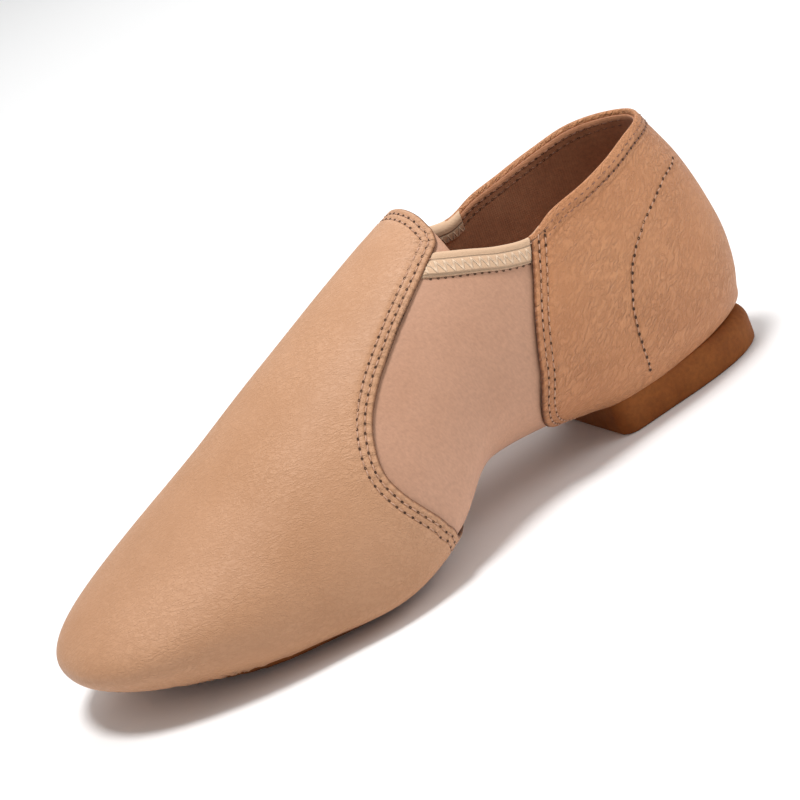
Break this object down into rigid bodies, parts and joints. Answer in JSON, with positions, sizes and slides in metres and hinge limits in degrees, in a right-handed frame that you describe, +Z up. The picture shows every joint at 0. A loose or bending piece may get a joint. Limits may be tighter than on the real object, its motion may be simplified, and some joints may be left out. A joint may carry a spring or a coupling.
{
  "type": "jazz shoe",
  "caption": "Low slip-on dance shoe: leather toe and heel parts over a stretch body, ribbed elastic at the throat, rubber forefoot patch and a low heel.",
  "frame": {"origin": "on the ground plane that the heel and the forefoot stand on, under the middle of the shoe's bounding box", "axes": "+X from the heel to the toe, +Y to the outer (little toe) side of the foot, +Z up"},
  "size_m": [0.2474, 0.0946, 0.0934],
  "materials": {
    "stretch_cloth": "satin knit",
    "leather": "soft grain, low sheen",
    "elastic": "ribbed, matt",
    "rubber": "matt",
    "sock_lining": "matt"
  },
  "bodies": {
    "root": {"upper": "stretch_cloth", "vamp": "leather", "quarter": "leather", "binding_lateral": "elastic", "binding_medial": "elastic", "forefoot_sole": "rubber", "heel": "rubber", "insole": "sock_lining"}
  },
  "joints": []
}
